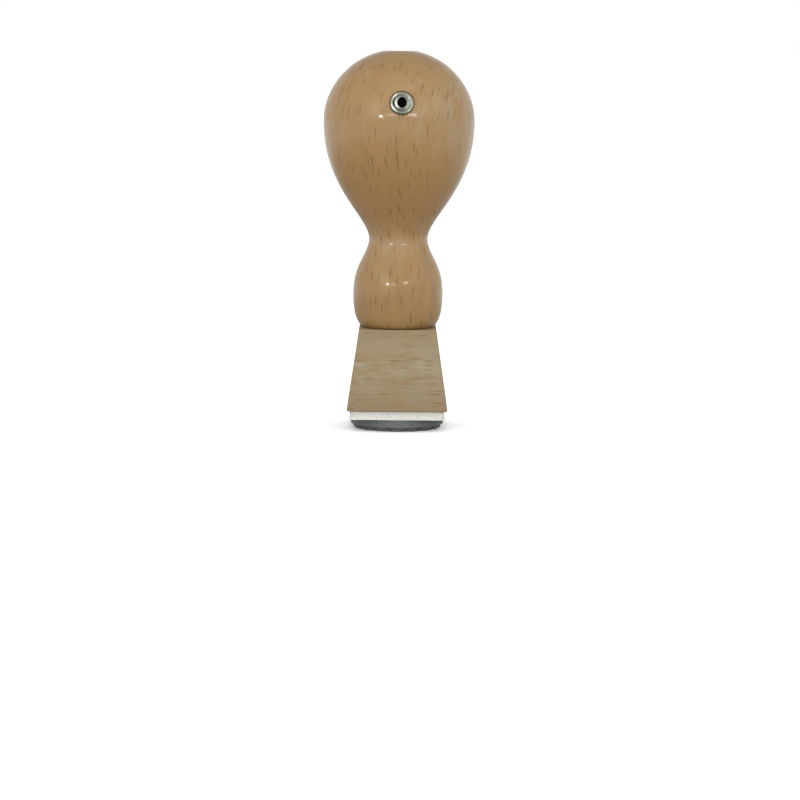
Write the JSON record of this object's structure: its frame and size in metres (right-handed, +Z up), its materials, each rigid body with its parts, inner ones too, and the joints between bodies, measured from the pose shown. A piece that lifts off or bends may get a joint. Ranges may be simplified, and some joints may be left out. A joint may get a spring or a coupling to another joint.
{
  "type": "wooden stamp",
  "caption": "Small hand stamp: turned ball-topped wooden handle with a metal front mark, screwed to a tapered wood mount that carries a foam cushion and a round rubber die.",
  "frame": {"origin": "centre of the printing face, on the surface that the stamp stands on", "axes": "+Z up along the handle; -Y is the front, where the metal mark on the handle faces; +X is the user's right"},
  "size_m": [0.0302, 0.0303, 0.0752],
  "materials": {
    "lacquered_beech": "clear gloss lacquer over turned steamed beech",
    "sanded_beech": "sanded, uncoated beech",
    "nickel_plated_brass": "bright nickel plate on drawn sheet",
    "zinc_plated_steel": "zinc plated",
    "cushion_foam": "white closed-cell foam, cut edges",
    "adhesive_film": "translucent double-sided film",
    "die_rubber": "laser-cut grey rubber with ink residue on its face"
  },
  "bodies": {
    "stamp": {"handle": "lacquered_beech", "front_mark_eyelet": "nickel_plated_brass", "dowel_screw": "zinc_plated_steel", "mount_block": "sanded_beech", "mount_tape": "adhesive_film", "cushion": "cushion_foam"},
    "die": {"rubber_die": "die_rubber", "die_tape": "adhesive_film"}
  },
  "joints": [
    {"name": "die_press", "type": "slide", "parent": "stamp", "child": "die", "axis": [0, 0, 1], "range_m": [0, 0.0005], "stiffness_N_per_m": 33000, "deforming": ["cushion"]}
  ]
}
